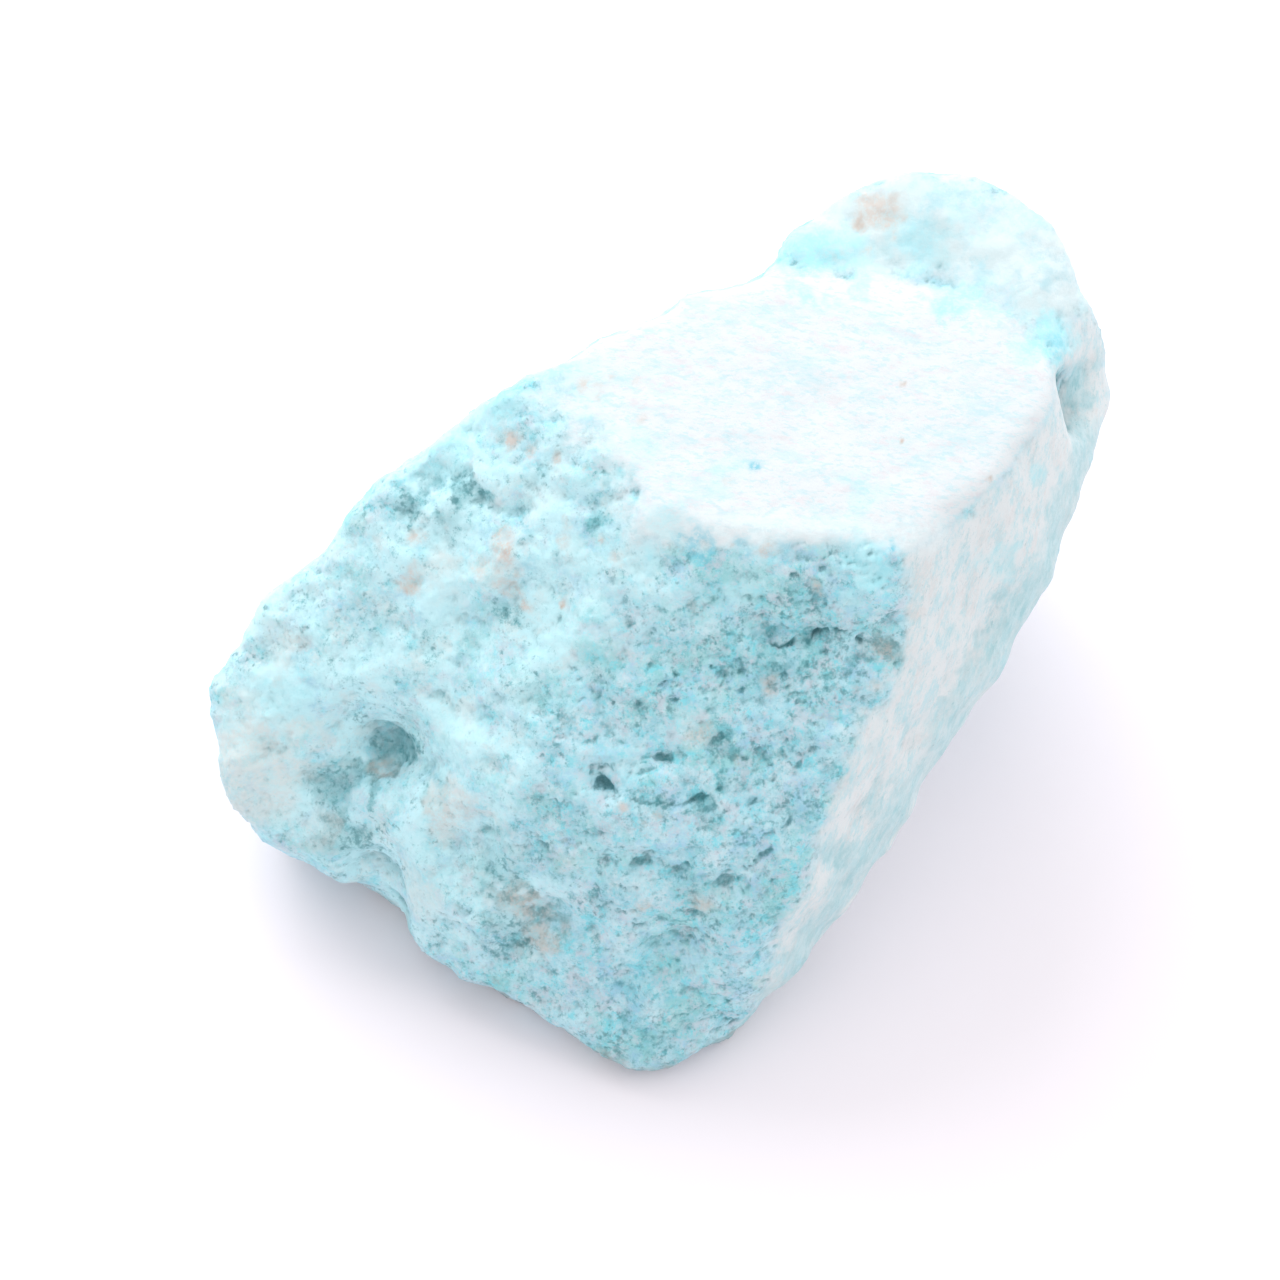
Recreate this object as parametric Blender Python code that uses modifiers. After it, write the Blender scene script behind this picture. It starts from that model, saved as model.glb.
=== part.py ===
"""Raw chrysocolla: one broken, unpolished lump of blue-green copper silicate, lying on its flat underside.

The lump is a wedge. A smooth, nearly level top breaks off along a front edge into a rough slope, which
runs down to a blunt toe. A pale, smoother side falls away on the right and hangs over the surface that
the stone lies on. A shoulder runs down on the left to a low lobe, with a deep hollow between the lobe
and the rough slope. A rougher knob closes the far end of the top.

Corners and features are in millimetres from the tip of the toe: right, away, up. The finished stone is
turned so that its length lies along X, and its origin is the middle of its box, at the underside.
"""

import math

import bmesh
import bpy
import numpy as np
from mathutils import Matrix, Vector, noise

MM = 0.001
NAME = "chrysocolla"

# Driving dimensions, in millimetres.
TOP = 19.2  # height of the smooth top along its front edge
FAR_TOP = 20.6  # height of the smooth top at its far end
KNOB = 21.2  # height of the knob at the far end
LOBE = 10.8  # height of the low lobe on the left
OVERHANG = 15.7  # height of the right side's lower edge at its far end
TURN = math.radians(-20.0)  # turns the long way of the stone along X
GRID = 0.36  # spacing of the working mesh
SWELL = 0.14  # makes up for the corners worn off
CREASE_ROUNDS = 40  # how far the inner corners are filled
TRIANGLES = 10000

# The corners of the four blocks that the lump is made of.
WEDGE = (
    (0.0, 0.0, 0.9),  # toe
    (-2.1, 0.8, 1.1),
    (-4.8, 2.2, 2.0),
    (3.8, 0.8, 1.7),
    (4.2, 1.8, 4.0),
    (-0.4, 16.8, TOP - 0.2),  # front edge of the top, left to right
    (2.0, 15.1, TOP + 0.1),
    (6.8, 14.8, TOP + 0.1),
    (10.6, 14.8, TOP),
    (13.4, 17.0, TOP + 0.4),  # right edge of the top, going away
    (16.2, 21.0, TOP + 0.8),
    (17.2, 24.8, TOP + 0.4),
    (13.7, 26.0, FAR_TOP),  # back of the top
    (4.5, 26.6, FAR_TOP),
    (-0.5, 25.0, FAR_TOP - 0.8),
    (-5.3, 22.5, TOP + 0.3),
    (-6.8, 21.8, TOP + 0.1),
    (10.4, 12.1, 16.0),  # ridge between the rough slope and the right side, going down
    (9.0, 10.0, 14.6),
    (7.3, 7.2, 12.2),
    (5.7, 4.4, 9.5),
    (4.8, 2.8, 6.2),
    (9.0, 6.3, 5.9),  # lower edge of the right side, going away
    (11.7, 9.7, 8.6),
    (14.3, 12.9, 11.4),
    (16.6, 16.0, 14.0),
    (17.8, 19.1, 15.3),
    (19.4, 24.1, OVERHANG),
    (2.0, 5.8, 11.1),  # brow of the rough slope
    (-2.0, 6.9, 11.8),
    (-5.9, 8.2, 11.4),
    (-6.3, 15.6, 16.6),  # left end of the rough slope
    (-8.8, 9.4, 9.8),
    (-10.4, 7.0, 5.8),
    (-9.9, 5.0, 2.6),
    (-2.0, 2.2, -0.8),  # underside
    (3.0, 3.0, -0.8),
    (8.0, 12.0, -0.8),
    (11.5, 27.0, -0.8),
    (3.0, 29.5, -0.8),
    (-9.0, 21.0, -0.8),
    (-9.0, 7.2, -0.8),
    (-4.4, 3.8, -0.8),
    (-8.5, 24.6, 9.0),  # back
    (0.0, 29.0, 10.0),
    (6.0, 31.0, 12.0),
    (19.0, 26.5, 12.5),
)
SHOULDER = (
    (-6.8, 21.9, TOP + 0.1),  # back ridge, going down
    (-8.9, 20.5, 17.6),
    (-10.7, 18.8, 15.3),
    (-14.0, 17.8, 12.3),
    (-16.3, 15.9, LOBE + 0.4),
    (-18.2, 14.3, 9.4),  # end of the lobe
    (-18.7, 12.7, 8.6),
    (-18.0, 10.3, 7.2),
    (-17.2, 9.4, 5.2),
    (-15.9, 8.4, 4.4),
    (-12.8, 7.3, 3.6),
    (-15.4, 14.4, LOBE),
    (-14.4, 10.4, 7.6),
    (-12.2, 15.6, 11.8),
    (-9.6, 16.6, 14.2),
    (-7.4, 18.4, 17.4),
    (-12.6, 10.2, -0.8),  # underside
    (-15.4, 12.6, -0.8),
    (-12.0, 19.0, -0.8),
    (-8.0, 22.0, -0.8),
    (-7.0, 12.0, -0.8),
    (-16.4, 17.2, 5.0),
    (-12.4, 22.4, 8.0),
)
SADDLE = (
    (-6.8, 16.4, 16.6),  # between the shoulder and the rough slope, going down
    (-9.6, 16.8, 14.3),
    (-6.8, 13.4, 14.2),
    (-12.8, 15.6, 11.9),
    (-9.8, 13.6, 11.9),
    (-8.6, 10.4, 10.6),
    (-13.8, 11.2, 9.0),
    (-10.6, 9.4, 8.4),
    (-12.2, 8.0, 5.6),
    (-11.0, 7.0, 4.9),
    (-11.2, 7.4, 3.0),
    (-12.0, 10.0, -0.8),  # underside
    (-9.0, 8.0, -0.8),
    (-8.0, 18.0, -0.8),
)
FAR_KNOB = (
    (5.5, 28.5, KNOB - 0.8),
    (7.5, 30.6, KNOB - 1.0),
    (9.9, 31.3, KNOB),
    (12.8, 31.6, KNOB - 0.2),
    (14.9, 30.6, KNOB - 0.2),
    (16.9, 28.6, KNOB - 0.3),
    (18.3, 25.8, TOP),
    (4.4, 26.4, FAR_TOP - 0.2),
    (9.0, 23.0, FAR_TOP - 0.6),
    (14.4, 22.6, FAR_TOP - 0.6),
    (18.9, 25.0, 17.4),
    (4.6, 25.0, 10.0),
    (19.2, 26.0, 13.0),
    (17.4, 30.6, 12.6),
    (11.0, 33.8, 12.0),
    (5.6, 32.2, 10.5),
    (13.6, 28.8, 3.0),  # tucked in under the back
    (10.0, 28.6, 1.0),
    (4.6, 29.6, 1.0),
    (9.0, 22.0, 0.0),
)

# Hollows: centre, reach along each direction, depth. They are pressed in along the surface's own normal.
HOLLOWS = (
    ((-11.4, 10.9, 9.5), 3.1, 1.4),  # broad hollow between lobe and slope
    ((-10.9, 10.5, 9.2), 1.8, 0.9),
    ((-13.0, 9.6, 7.8), 2.8, 1.0),
    ((-11.6, 7.4, 4.8), 2.0, 0.8),
    ((-6.9, 13.2, 14.6), 3.2, 0.8),
    ((4.1, 10.0, 15.0), 4.6, 0.6),
    ((8.9, 12.0, 16.6), 1.9, 0.5),
    ((0.2, 2.9, 5.6), 2.8, 0.6),
    ((-4.6, 4.4, 6.6), 2.6, 0.5),
    ((17.4, 22.4, 18.0), 2.1, 1.2),  # notch under the top's far right corner
    ((7.4, 26.6, 20.8), 1.9, 0.2),  # dip before the knob
    ((12.6, 27.4, 20.9), 2.0, 0.3),
    ((-9.0, 18.8, 16.9), 1.6, 0.6),
    ((-1.9, 7.4, 12.0), 0.9, 0.7),
    ((16.8, 17.6, 14.6), 1.6, 0.4),
)

# Cracks and ledges: start, end, half width, depth.
CRACKS = (
    ((4.6, 12.0, 16.1), (8.6, 12.2, 16.1), 0.7, 0.6),
    ((0.0, 7.2, 11.6), (2.6, 7.1, 11.4), 0.55, 0.5),
    ((-2.2, 9.0, 13.3), (1.4, 8.6, 12.9), 0.7, 0.35),
    ((-7.6, 18.2, 17.6), (-5.4, 17.4, 17.9), 0.6, 0.4),
    ((-8.6, 12.0, 11.6), (-5.4, 11.0, 12.6), 0.9, 0.4),
    ((-1.6, 5.6, 9.6), (3.4, 4.6, 9.4), 0.9, 0.4),
    ((7.0, 5.6, 9.0), (14.4, 14.6, 14.6), 0.9, 0.25),
    ((6.0, 27.2, 20.8), (13.6, 25.8, 20.7), 1.0, 0.22),
)


def block(corners):
    """A mesh of the convex solid that the corners span, added to one mesh with the others."""
    bm = bmesh.new()
    for corner in corners:
        bm.verts.new(Vector(corner) * MM)
    made = bmesh.ops.convex_hull(bm, input=bm.verts)
    inner = [v for v in made["geom_interior"] if isinstance(v, bmesh.types.BMVert)]
    bmesh.ops.delete(bm, geom=inner, context="VERTS")
    bmesh.ops.recalc_face_normals(bm, faces=bm.faces)
    mesh = bpy.data.meshes.new("block")
    bm.to_mesh(mesh)
    bm.free()
    return mesh


def applied(obj):
    """The object's mesh with its modifiers applied; the modifiers are then taken off."""
    graph = bpy.context.evaluated_depsgraph_get()
    graph.update()
    mesh = bpy.data.meshes.new_from_object(obj.evaluated_get(graph))
    obj.modifiers.clear()
    obj.data = mesh
    return mesh


def fill_creases(mesh, rounds):
    """Raises the sharp inner corners where two blocks meet, and leaves outer corners as they are."""
    ends = np.empty(len(mesh.edges) * 2, dtype=np.int64)
    mesh.edges.foreach_get("vertices", ends)
    first, second = ends[0::2], ends[1::2]
    count = np.bincount(ends, minlength=len(mesh.vertices))[:, None]
    flat = np.empty(len(mesh.vertices) * 3)
    normals = np.empty(len(mesh.vertices) * 3)
    for _ in range(rounds):
        mesh.vertices.foreach_get("co", flat)
        mesh.vertex_normals.foreach_get("vector", normals)
        points = flat.reshape(-1, 3)
        total = np.zeros_like(points)
        np.add.at(total, first, points[second])
        np.add.at(total, second, points[first])
        lift = total / count - points
        hollow = (lift * normals.reshape(-1, 3)).sum(axis=1) > 0.0
        points[hollow] += 0.6 * lift[hollow]
        mesh.vertices.foreach_set("co", points.ravel())
        mesh.update()


def step(low, high, value):
    """0 below low, 1 above high, and an even change between."""
    t = min(max((value - low) / (high - low), 0.0), 1.0)
    return t * t * (3.0 - 2.0 * t)


def along(start, end, point):
    """Distance of a point from a line between two others."""
    line = end - start
    t = min(max((point - start).dot(line) / line.length_squared, 0.0), 1.0)
    return (point - start - line * t).length


def crumpled(point):
    """The point moved a little by noise, so that hollows and cracks have broken outlines."""
    return point + 0.7 * noise.noise_vector(point / 1.9) + 0.35 * noise.noise_vector(point / 0.8)


def roughness(point, normal):
    """How broken the surface is here: little on the smooth top and the right side, fully on the rest."""
    top = step(0.90, 0.97, normal.z) * step(17.6, 18.8, point.z) * (1.0 - step(26.2, 27.8, point.y))
    side = step(0.80, 0.94, normal.dot(Vector((0.72, -0.36, 0.60))))
    under = step(0.70, 0.95, -normal.z) * step(-1.2, -0.6, -point.z)
    return 1.0 - 0.86 * max(top, 0.75 * side, under)


def relief(point, normal):
    """Height of the broken surface over the plain blocks, in millimetres."""
    rough = roughness(point, normal)
    lumps = noise.fractal(point / 6.5 + Vector((3.1, 7.7, 1.3)), 0.9, 2.1, 3)
    ledges = noise.ridged_multi_fractal(point / 4.2 + Vector((9.2, 0.4, 5.5)), 0.9, 2.2, 3, 0.9, 1.8)
    grain = noise.noise(point / 1.3 + Vector((1.0, 4.0, 8.0)))
    height = SWELL + rough * (0.40 * lumps + 0.34 * (ledges - 1.1) + 0.24 * grain)
    height += 0.05 * noise.noise(point / 3.0)
    bent = crumpled(point)
    for centre, reach, depth in HOLLOWS:
        away = (bent - Vector(centre)).length / reach
        if away < 1.0:
            height -= depth * (1.0 - away * away) ** 2
    for start, end, half, depth in CRACKS:
        away = along(Vector(start), Vector(end), bent) / half
        if away < 1.0:
            height -= depth * (1.0 - away * away)
    return height


def break_surface(mesh):
    """Moves every vertex along its normal by the relief."""
    moves = []
    for vertex in mesh.vertices:
        point = vertex.co / MM
        moves.append(vertex.normal * relief(point, vertex.normal) * MM)
    for vertex, move in zip(mesh.vertices, moves):
        vertex.co += move
    mesh.update()


def flatten_underside(mesh):
    """Cuts the lump flat at height 0 and closes the cut."""
    bm = bmesh.new()
    bm.from_mesh(mesh)
    geometry = bm.verts[:] + bm.edges[:] + bm.faces[:]
    cut = bmesh.ops.bisect_plane(
        bm, geom=geometry, dist=1e-6, plane_co=(0, 0, 0), plane_no=(0, 0, -1), clear_outer=True
    )
    rim = [e for e in cut["geom_cut"] if isinstance(e, bmesh.types.BMEdge)]
    bmesh.ops.holes_fill(bm, edges=rim, sides=0)
    bmesh.ops.dissolve_degenerate(bm, dist=2e-5, edges=bm.edges)
    for vertex in bm.verts:
        if vertex.co.z < 2e-5:
            vertex.co.z = 0.0
    bmesh.ops.triangulate(bm, faces=bm.faces)
    bmesh.ops.recalc_face_normals(bm, faces=bm.faces)
    bm.to_mesh(mesh)
    bm.free()


def centre_and_turn(mesh):
    """Turns the stone's length along X and puts the origin under the middle of its box."""
    mesh.transform(Matrix.Rotation(TURN, 4, "Z"))
    xs = [v.co.x for v in mesh.vertices]
    ys = [v.co.y for v in mesh.vertices]
    middle = Vector(((min(xs) + max(xs)) / 2.0, (min(ys) + max(ys)) / 2.0, 0.0))
    mesh.transform(Matrix.Translation(-middle))


def stone_material():
    """Plain blue-green stone."""
    material = bpy.data.materials.new("chrysocolla")
    material.use_nodes = True
    shader = material.node_tree.nodes["Principled BSDF"]
    shader.inputs["Base Color"].default_value = (0.33, 0.64, 0.70, 1.0)
    shader.inputs["Roughness"].default_value = 0.85
    return material


def main():
    for obj in list(bpy.data.objects):
        bpy.data.objects.remove(obj)
    collection = bpy.data.collections.new("raw_chrysocolla")
    bpy.context.scene.collection.children.link(collection)

    bm = bmesh.new()
    for corners in (WEDGE, SHOULDER, SADDLE, FAR_KNOB):
        bm.from_mesh(block(corners))
    mesh = bpy.data.meshes.new(NAME)
    bm.to_mesh(mesh)
    bm.free()
    stone = bpy.data.objects.new(NAME, mesh)
    collection.objects.link(stone)

    remesh = stone.modifiers.new("one body", "REMESH")
    remesh.mode = "VOXEL"
    remesh.voxel_size = GRID * MM
    smooth = stone.modifiers.new("worn corners", "SMOOTH")
    smooth.factor = 0.5
    smooth.iterations = 2
    mesh = applied(stone)
    fill_creases(mesh, CREASE_ROUNDS)
    break_surface(mesh)

    thin = stone.modifiers.new("facets", "DECIMATE")
    thin.ratio = TRIANGLES / (2.0 * len(stone.data.polygons))
    thin.use_collapse_triangulate = True
    mesh = applied(stone)
    flatten_underside(mesh)
    centre_and_turn(mesh)
    mesh.name = NAME
    mesh.materials.append(stone_material())
    mesh.shade_smooth()
    mesh.set_sharp_from_angle(angle=math.radians(50.0))


main()
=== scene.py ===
import math

import bmesh
import bpy
import numpy as np
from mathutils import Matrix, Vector, noise
from mathutils.bvhtree import BVHTree


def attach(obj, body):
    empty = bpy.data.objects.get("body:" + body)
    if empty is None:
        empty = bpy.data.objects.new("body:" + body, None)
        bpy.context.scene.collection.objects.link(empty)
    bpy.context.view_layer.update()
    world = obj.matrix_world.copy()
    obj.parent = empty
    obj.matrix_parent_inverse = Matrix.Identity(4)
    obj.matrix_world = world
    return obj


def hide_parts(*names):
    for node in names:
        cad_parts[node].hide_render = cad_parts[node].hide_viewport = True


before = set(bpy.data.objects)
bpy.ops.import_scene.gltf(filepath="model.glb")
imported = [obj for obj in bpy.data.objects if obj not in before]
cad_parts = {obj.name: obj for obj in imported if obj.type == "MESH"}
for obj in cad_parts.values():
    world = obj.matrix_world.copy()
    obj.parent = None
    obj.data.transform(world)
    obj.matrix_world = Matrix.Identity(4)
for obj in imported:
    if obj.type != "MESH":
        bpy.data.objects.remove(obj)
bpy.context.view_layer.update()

# The stone is one solid. What is seen of it is a finer copy of that solid, with a carved relief, and with
# masks on its vertices that one procedural material reads. Lengths are in millimetres, and the places where
# something is seen are in the photograph's pixels, unless a comment says otherwise.
MM = 0.001
NODE = "chrysocolla"
STONE = "chrysocolla_stone"

# The camera, as the photograph was taken: from above the toe, the stone's length running up to the right.
PHOTO = 1280.0  # the photograph's width and height
AZIMUTH = -20.0  # degrees
ELEVATION = 60.0  # degrees
AIM = Vector((-0.00202, 0.00073, 0.010))  # the point at the middle of the photograph, in metres
DISTANCE = 0.230  # metres
FIELD = 0.05333  # what the photograph's width covers at the aim, in metres
SENSOR = 36.0
CLIP = (0.01, 10.0)  # metres

# The working mesh.
COARSE = 0.295  # spacing all over
SMOOTHING = 4  # rounds that take the solid's facets away
FINE_FACING = 0.15  # faces that face the camera more than this are split in four
SIGHT_LIFT = 0.05  # how far off a face the line from it to the camera starts

# Outlines of the zones.
TOP_OUTLINE = (
    (636, 500), (641, 538), (690, 546), (760, 542), (830, 543), (930, 548), (1002, 488), (1058, 405),
    (1042, 345), (985, 292), (860, 276), (765, 258), (640, 305), (530, 360), (545, 395), (590, 440),
    (630, 476),
)
SIDE_OUTLINE = (
    (905, 545), (985, 482), (1045, 402), (1064, 352), (1090, 306), (1140, 420), (1075, 600), (880, 900),
    (740, 1060), (742, 1030), (772, 955), (800, 880), (838, 790), (872, 705), (905, 640),
)
# The paler left, the slope at the left and the lobe: paler in colour, and also painted lighter where they
# face the lamps.
PALE_OUTLINE = (
    (480, 385), (560, 440), (640, 500), (650, 560), (590, 640), (530, 720), (500, 790), (540, 880),
    (500, 930), (420, 930), (330, 870), (240, 830), (200, 740), (250, 600), (410, 460),
)
KNOB_OUTLINE = (
    (765, 250), (860, 278), (985, 296), (1040, 330), (1110, 310), (1060, 210), (960, 160), (820, 190),
)

# Where the zones end. Each pair runs from where a zone is absent to where it is full. A BLEND is in pixels
# inside the outline, and a RAGGED value says how far a noise of EDGE_GRAIN moves that border. The others are
# limits to the surface's height, or to the way it faces, from -1 to 1.
EDGE_GRAIN = 1.3
TOP_BLEND = (7.0, 36.0)  # half the width over which the top gives way to the front, and to the left slope
TOP_BLEND_COLUMNS = (700.0, 540.0)  # the columns of pixels where the one width changes to the other
TOP_LEVEL = (0.45, 0.8)  # how far up the top's normal points
TOP_HEIGHT = (15.5, 17.5)
SIDE_BLEND = (-10.0, 14.0)
SIDE_RAGGED = 18.0
SIDE_TURNED = (0.05, 0.35)  # how far right the side's normal points
SIDE_FACING = (-0.55, -0.15)  # how squarely it faces the camera
SIDE_FACING_RAGGED = 0.15
KNOB_BLEND = (-24.0, 24.0)
KNOB_RAGGED = 24.0
KNOB_FACING = (0.0, 0.3)
KNOB_CALM = 0.85  # how much less rough than the broken faces the knob is
PALE_BLEND = (-55.0, 45.0)
PALE_RAGGED = 60.0
PALE_FACING = (-0.1, 0.2)
PALE_CALM = 0.55  # how much less pitted than the front the slope at the left and the lobe are
UNDER_FACING = (0.6, 0.9)  # how far down the underside's normal points
UNDER_HEIGHT = (1.0, 0.4)
UNDER_CALM = 0.75  # how much less rough the underside is
FOOT_HEIGHT = (1.8, 0.2)  # heights between which painted shade darkens the stone near the ground
FOOT_RAGGED = 1.2

# Kinds of noise: how far apart in space the seeds are, how fast the octaves fade, and how much finer each
# octave is than the one before it.
PLAIN_STEPS = (3.17, 7.31, 1.93)
FRACTAL_STEPS = (2.71, 5.13, 8.07)
CAVITY_STEPS = (1.37, 4.61, 6.23)
FRACTAL_FADE = 0.8
STREAK_FADE = 0.7
CAVITY_FADE = 0.55
FINER = 2.1
CAVITY_FINER = 2.13
CAVITY_OCTAVES = 5
# Noises: grain and seed of the plain ones, and grain, seed and octaves of the fractal ones.
FINE = (0.26, 1.0)
GRAIN = (0.55, 2.0)
CROWDS = (2.6, 6.0)
SWELL = (5.0, 4.0, 2)
BLOTCHES = (1.5, 5.0, 3)
BLOTCH_SHARE = 1.2  # how much more ragged the coloured spots are than the pits
# Streaky noises: grain, where they start, and octaves.
LUMPS = (1.9, (4.0, 9.0, 2.0), 5)
COMBED = (0.9, (2.0, 6.0, 5.0), 4)
LAYER_STRETCH = 0.65  # lumps and cavities are this many times as long up the rough slope as across it
FIBRE_STRETCH = 5.0  # and the side's streaks this many times as long as wide
# Mixes of the noises: for ragged edges, and for where a crack opens.
RAGGED = {"fine": 0.5, "grain": 0.6}
OPENING = {"grain": 1.0, "fine": 0.5}

# Relief: how high each noise stands on each kind of ground.
ROUGH_RELIEF = {"lumps": 0.14, "fine": 0.03, "grain": 0.03, "swell": 0.10}
TOP_RELIEF = {"grain": 0.014, "fine": 0.006}
SIDE_RELIEF = {"combed": 0.020, "grain": 0.018, "fine": 0.010}
KNOB_RELIEF = {"lumps": 0.03, "grain": 0.015}

# Cavities of the broken faces: size, seed, the noise's levels at the rim and at the floor, depth, and how
# much deeper they are where they crowd together.
CAVITIES = (
    (0.45, 1.0, 0.15, 0.60, 0.02, 0.05),
    (1.1, 2.0, 0.25, 0.75, 0.03, 0.05),
    (3.4, 3.0, 0.30, 0.90, 0.10, 0.0),
)
CROWDED = (-0.35, 0.35)  # levels of the noise between which the small cavities crowd together
CROWDED_BY_SWELL = 0.4  # how much more of them there are where the stone swells

# Pits: where they are seen, half width, depth, how many times longer than wide, and the long way's tilt in
# degrees.
PITS = (
    (462, 478, 0.40, 0.22, 1.5, 8),
    (478, 502, 0.26, 0.18, 2.2, 12),
    (497, 488, 0.20, 0.14, 2.0, 80),
    (412, 512, 0.40, 0.18, 1.5, 10),
    (520, 545, 0.18, 0.14, 1.9, 35),
    (607, 786, 0.24, 0.32, 2.4, -48),
    (697, 798, 0.20, 0.30, 2.4, 25),
    (664, 758, 0.20, 0.29, 2.4, -12),
    (638, 706, 0.20, 0.28, 1.2, -30),
    (676, 701, 0.14, 0.22, 2.8, -12),
    (716, 742, 0.26, 0.29, 2.0, 30),
    (825, 652, 0.17, 0.28, 1.2, -20),
    (786, 677, 0.20, 0.34, 1.2, 80),
    (741, 672, 0.16, 0.25, 1.4, 0),
    (742, 690, 0.18, 0.25, 1.6, 60),
    (812, 750, 0.20, 0.27, 2.0, 35),
    (796, 768, 0.18, 0.24, 1.4, 30),
    (746, 760, 0.16, 0.24, 1.8, -25),
    (771, 766, 0.12, 0.21, 1.4, -20),
    (718, 790, 0.16, 0.25, 1.6, 10),
    (796, 576, 0.19, 0.25, 1.2, 0),
    (779, 600, 0.19, 0.25, 1.2, 0),
    (822, 569, 0.17, 0.23, 1.2, 0),
    (727, 648, 0.14, 0.16, 2.2, -20),
    (712, 668, 0.13, 0.20, 1.2, 0),
    (610, 910, 0.45, 0.32, 1.6, 0),
    (680, 872, 0.38, 0.32, 1.7, -10),
    (640, 862, 0.26, 0.24, 2.0, 10),
    (724, 880, 0.30, 0.24, 1.5, 20),
    (520, 940, 0.55, 0.28, 1.5, -20),
    (700, 915, 0.40, 0.24, 1.4, 10),
    (770, 835, 0.24, 0.22, 1.5, 30),
    (560, 720, 0.26, 0.21, 1.5, 20),
    (590, 742, 0.20, 0.21, 1.8, -10),
    (540, 800, 0.34, 0.24, 1.6, 30),
    (600, 835, 0.26, 0.21, 2.0, -15),
    (545, 850, 0.34, 0.21, 1.7, -30),
    (500, 700, 0.34, 0.21, 1.4, 20),
    (620, 500, 0.16, 0.13, 2.0, 8),
    (630, 492, 0.12, 0.15, 2.2, 0),
    (556, 555, 0.13, 0.14, 1.5, 70),
    (596, 527, 0.16, 0.13, 1.4, 10),
    (505, 617, 0.28, 0.15, 1.4, 20),
    (560, 620, 0.14, 0.18, 2.0, 70),
)
PIT_PAINTED_SHADE = 0.7  # how dark the painted shade on a pit's floor is, as a share of how steep the pit is
FAR_WALL = 0.6  # a pit's depth in its middle, and how fast it deepens towards its far side
FAR_WALL_LIMITS = (0.15, 1.1)

# How uneven the edges of the marks are, and how far the noise may shrink or widen them.
PIT_UNEVEN = 0.8
SPOT_UNEVEN = 0.7
LINE_UNEVEN = 0.9
UNEVEN_LIMITS = (0.5, 2.5)
SPOT_FADE = (0.35, 1.1)  # shares of a spot's radius between which it fades

# Cracks: the places that they run through, half width and depth.
CRACKS = (
    (((768, 644), (782, 646), (792, 643), (801, 637), (810, 637), (818, 632)), 0.12, 0.26),
    (((600, 774), (608, 786), (618, 796)), 0.16, 0.10),
    (((632, 799), (648, 804), (664, 803), (682, 805), (694, 800), (708, 797)), 0.13, 0.10),
    (((814, 634), (822, 631), (832, 630), (840, 632), (850, 634), (861, 642)), 0.12, 0.26),
    (((790, 820), (770, 850), (745, 868)), 0.18, 0.14),
)
CRACK_OPEN = (-0.35, 0.05)  # levels of the noise between which a crack opens
CRACK_PAINTED_SHADE = 0.8  # how dark the painted shade on a crack's floor is

# Where the stone is hollow, for painted shade: rounds of smoothing that level the surroundings, and the
# depth that counts as 1.
CREVICE = (8, 0.10)
HOLLOW = (60, 0.30)

# Coloured spots: where they are seen, radius, how strong.
TAN_SPOTS = (
    (510, 441, 0.55, 0.9), (530, 452, 0.34, 0.8), (556, 460, 0.28, 0.7), (585, 470, 0.24, 0.6),
    (497, 540, 0.80, 0.9), (503, 542, 0.70, 1.0), (508, 552, 0.50, 1.0), (414, 537, 0.50, 0.7),
    (506, 556, 0.55, 0.8), (566, 520, 0.26, 0.7), (601, 538, 0.20, 0.8), (616, 556, 0.36, 0.6),
    (524, 606, 0.26, 0.8), (515, 575, 0.26, 0.5), (562, 603, 0.16, 0.9), (407, 582, 0.45, 0.7),
    (414, 537, 0.65, 0.8), (878, 208, 1.30, 0.8), (862, 226, 0.60, 0.8), (730, 481, 0.30, 0.4),
    (600, 388, 0.50, 0.4), (636, 383, 0.30, 0.4), (765, 553, 0.40, 0.7), (816, 588, 0.35, 0.7),
    (732, 546, 0.20, 0.7), (700, 735, 0.45, 0.6), (740, 762, 0.30, 0.5), (770, 688, 0.42, 0.7),
    (622, 808, 0.40, 0.7), (656, 816, 0.36, 0.6), (440, 826, 1.00, 0.4), (386, 764, 0.60, 0.6),
    (645, 906, 0.60, 0.6), (520, 902, 0.90, 0.6), (545, 942, 0.90, 0.6), (702, 905, 0.60, 0.6),
    (540, 632, 0.20, 0.4), (480, 560, 0.50, 0.5), (512, 590, 0.60, 0.6), (690, 742, 0.44, 0.4),
    (300, 640, 0.9, 0.35), (560, 870, 0.7, 0.3), (620, 640, 0.8, 0.2), (705, 545, 0.22, 0.5),
    (887, 655, 0.7, 0.5), (873, 686, 0.5, 0.5), (450, 800, 1.0, 0.3), (920, 612, 0.5, 0.4),
    (560, 540, 0.3, 0.5), (582, 388, 0.30, 0.8), (611, 377, 0.26, 0.6), (597, 398, 0.26, 0.6),
    (643, 417, 0.30, 0.5),
)
RUST_SPOTS = (
    (903, 383, 0.08, 0.6), (901, 441, 0.10, 0.8), (990, 478, 0.13, 0.6), (623, 540, 0.13, 1.0),
    (562, 606, 0.10, 0.8), (408, 588, 0.20, 0.4), (892, 198, 0.40, 0.30), (601, 541, 0.12, 0.6),
    (860, 226, 0.34, 0.5),
)
BLUE_SPOTS = (
    (700, 548, 1.0, 0.7), (830, 547, 0.9, 0.15), (885, 553, 0.9, 0.25), (892, 550, 0.3, 1.0),
    (755, 467, 0.18, 0.9), (680, 540, 0.5, 0.5), (740, 545, 0.6, 0.6), (790, 545, 0.5, 0.5),
    (640, 980, 1.4, 0.4), (848, 548, 0.4, 0.3), (1055, 345, 0.5, 0.4), (860, 556, 0.5, 0.25),
)
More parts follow.
